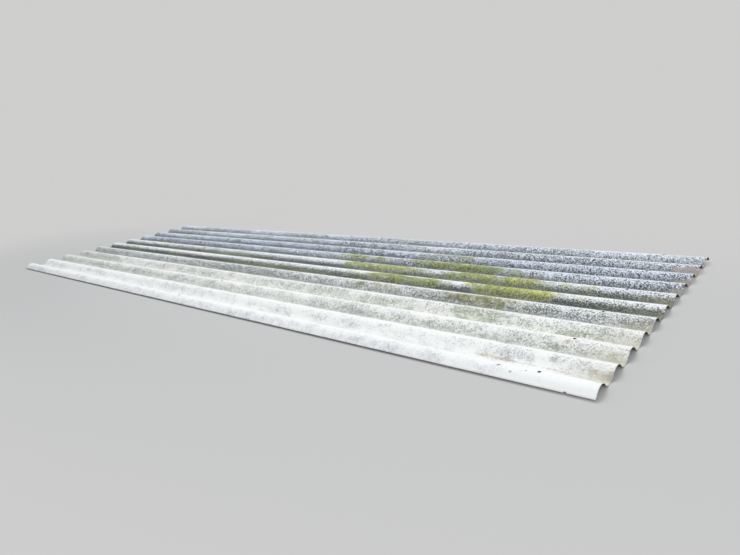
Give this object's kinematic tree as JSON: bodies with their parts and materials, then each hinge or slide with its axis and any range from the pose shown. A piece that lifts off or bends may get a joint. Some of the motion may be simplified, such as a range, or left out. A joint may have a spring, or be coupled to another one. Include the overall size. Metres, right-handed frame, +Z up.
{
  "type": "corrugated metal sheet",
  "caption": "Weathered galvanised steel roofing sheet with round corrugations and rows of nail holes through its crests, lying flat.",
  "frame": {"origin": "under the middle of the sheet, in the plane of the valley bottoms that it lies on", "axes": "+X along the corrugations, +Y across them, +Z up, with the crests on top"},
  "size_m": [2.4384, 0.8132, 0.0181],
  "materials": {
    "weathered_zinc": "old hot-dip zinc gone chalky and matt, speckled dark with lichen and oxide, green in the valleys, rusted near the ends"
  },
  "bodies": {
    "root": {"corrugated_sheet": "weathered_zinc"}
  },
  "joints": []
}
